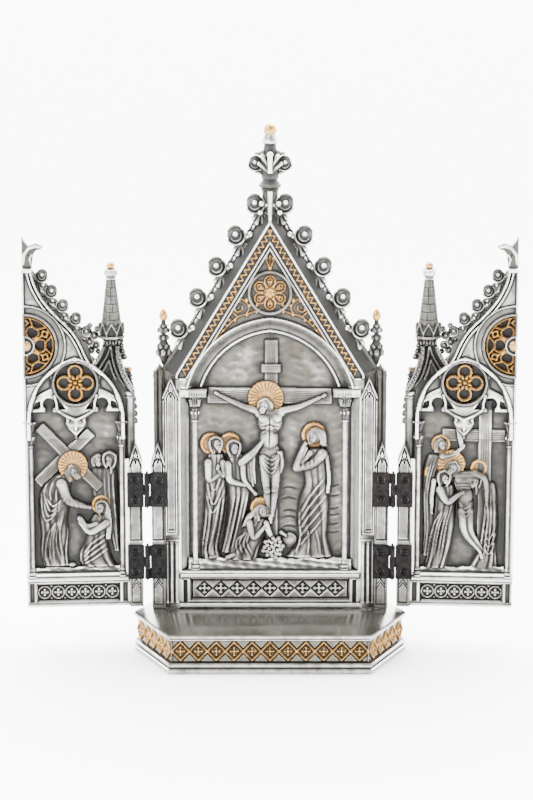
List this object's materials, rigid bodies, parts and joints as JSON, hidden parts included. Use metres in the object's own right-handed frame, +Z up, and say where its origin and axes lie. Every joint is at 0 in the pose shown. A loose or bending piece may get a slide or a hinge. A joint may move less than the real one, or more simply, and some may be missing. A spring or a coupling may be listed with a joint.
{
  "type": "triptych altarpiece",
  "caption": "Cast tabletop altarpiece on a plinth: a gabled Gothic panel with a relief, and hinged wings that fold over it.",
  "frame": {"origin": "middle of the plinth's underside, on the surface that the altarpiece stands on", "axes": "+X to the viewer's right, +Y to the back, +Z up; the panel faces -Y with its wings open"},
  "size_m": [0.2266, 0.078, 0.2431],
  "materials": {
    "antique_silver": "cast resin with a worn silver finish, dark in its recesses, gold paint on ornament and haloes",
    "plinth_silver": "cast resin with a smooth grey silver finish and gold lozenges",
    "dark_steel": "blackened"
  },
  "bodies": {
    "base": {"plinth": "plinth_silver", "centre_panel": "antique_silver", "left_lower_hinge_fixed_leaf": "dark_steel", "left_lower_hinge_pin": "dark_steel", "left_lower_hinge_fixed_lower_screw": "dark_steel", "left_lower_hinge_fixed_upper_screw": "dark_steel", "left_upper_hinge_fixed_leaf": "dark_steel", "left_upper_hinge_pin": "dark_steel", "left_upper_hinge_fixed_lower_screw": "dark_steel", "left_upper_hinge_fixed_upper_screw": "dark_steel", "right_lower_hinge_fixed_leaf": "dark_steel", "right_lower_hinge_pin": "dark_steel", "right_lower_hinge_fixed_lower_screw": "dark_steel", "right_lower_hinge_fixed_upper_screw": "dark_steel", "right_upper_hinge_fixed_leaf": "dark_steel", "right_upper_hinge_pin": "dark_steel", "right_upper_hinge_fixed_lower_screw": "dark_steel", "right_upper_hinge_fixed_upper_screw": "dark_steel"},
    "left_wing": {"left_wing": "antique_silver", "left_lower_hinge_moving_leaf": "dark_steel", "left_lower_hinge_moving_lower_screw": "dark_steel", "left_lower_hinge_moving_upper_screw": "dark_steel", "left_upper_hinge_moving_leaf": "dark_steel", "left_upper_hinge_moving_lower_screw": "dark_steel", "left_upper_hinge_moving_upper_screw": "dark_steel"},
    "right_wing": {"right_wing": "antique_silver", "right_lower_hinge_moving_leaf": "dark_steel", "right_lower_hinge_moving_lower_screw": "dark_steel", "right_lower_hinge_moving_upper_screw": "dark_steel", "right_upper_hinge_moving_leaf": "dark_steel", "right_upper_hinge_moving_lower_screw": "dark_steel", "right_upper_hinge_moving_upper_screw": "dark_steel"}
  },
  "joints": [
    {"name": "left_wing_hinge", "type": "hinge", "parent": "base", "child": "left_wing", "pos_m": [-0.0568, 0.0026, 0.0583], "axis": [0, 0, 1], "range_deg": [-18, 175.5]},
    {"name": "right_wing_hinge", "type": "hinge", "parent": "base", "child": "right_wing", "pos_m": [0.0568, 0.0026, 0.0583], "axis": [0, 0, -1], "range_deg": [-18, 175.5]}
  ]
}
